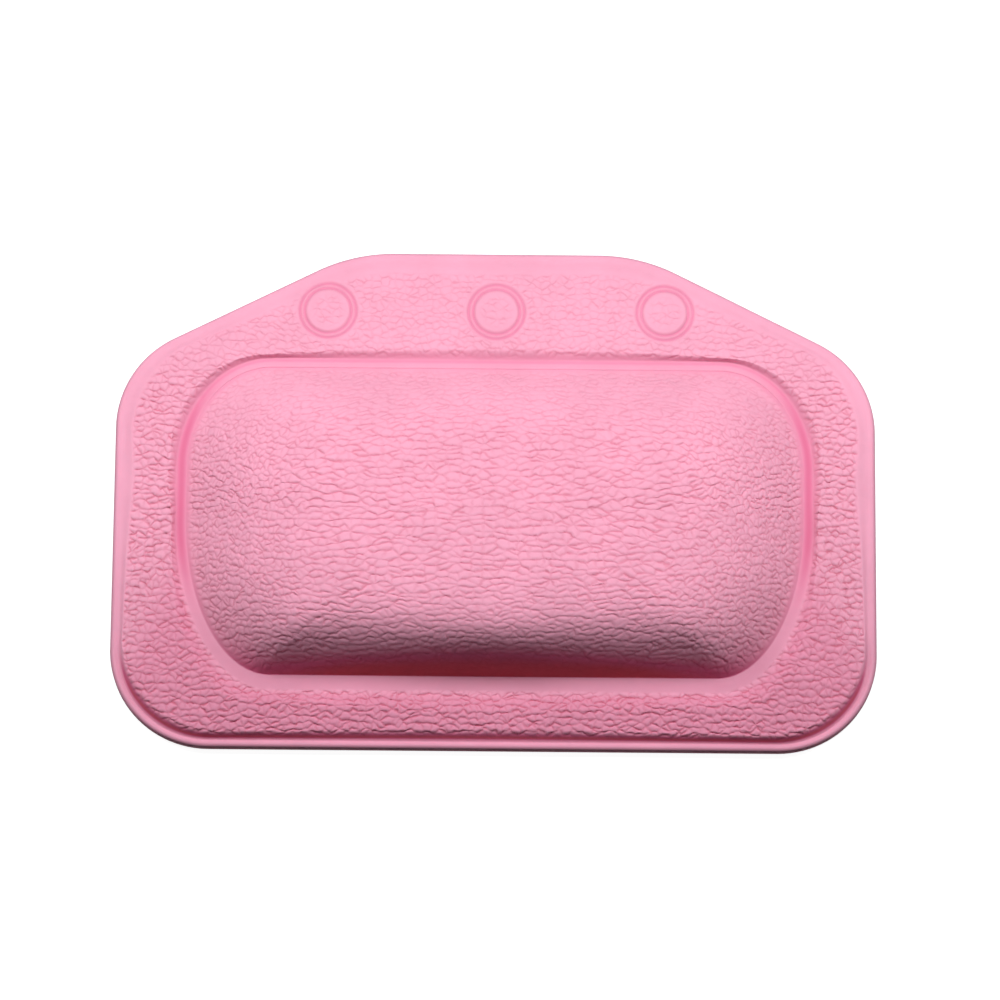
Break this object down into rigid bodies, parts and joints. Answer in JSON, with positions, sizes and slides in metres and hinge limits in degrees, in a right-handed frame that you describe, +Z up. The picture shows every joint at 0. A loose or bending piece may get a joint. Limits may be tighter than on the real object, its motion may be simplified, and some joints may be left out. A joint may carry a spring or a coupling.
{
  "type": "bath pillow",
  "caption": "Soft moulded foam bath pillow: domed headrest cushion in a puffed border, with suction cups under round buttons on its top flap.",
  "frame": {"origin": "middle of the bounding box on the surface that the pillow lies on, face up, with its suction cups' rims and the lower edge of its backing sheet touching that surface", "axes": "+X across the pillow, to the right as one looks at its face; +Y up the pillow, from its straight lower edge to its top flap with the cups; +Z up, out of its face"},
  "size_m": [0.33, 0.222, 0.0349],
  "materials": {
    "cover_foam": "soft pink closed-cell PVC foam, embossed with a fine crazed leather grain, smooth at the welds",
    "backing_foam": "smooth matt pink PVC foam sheet",
    "filling_foam": "open-cell cushion foam, off-white",
    "clear_vinyl": "clear soft PVC, glossy"
  },
  "bodies": {
    "pillow": {"front_cover": "cover_foam", "back_cover": "backing_foam", "foam_core": "filling_foam"},
    "left_cup": {"suction_cup_left": "clear_vinyl"},
    "centre_cup": {"suction_cup_centre": "clear_vinyl"},
    "right_cup": {"suction_cup_right": "clear_vinyl"}
  },
  "joints": [
    {"name": "left_cup_swivel", "type": "hinge", "parent": "pillow", "child": "left_cup", "pos_m": [-0.0735, 0.08399, 0.01], "axis": [0, 0, 1], "continuous": true},
    {"name": "centre_cup_swivel", "type": "hinge", "parent": "pillow", "child": "centre_cup", "pos_m": [0, 0.08399, 0.01], "axis": [0, 0, 1], "continuous": true},
    {"name": "right_cup_swivel", "type": "hinge", "parent": "pillow", "child": "right_cup", "pos_m": [0.0735, 0.08399, 0.01], "axis": [0, 0, 1], "continuous": true}
  ]
}
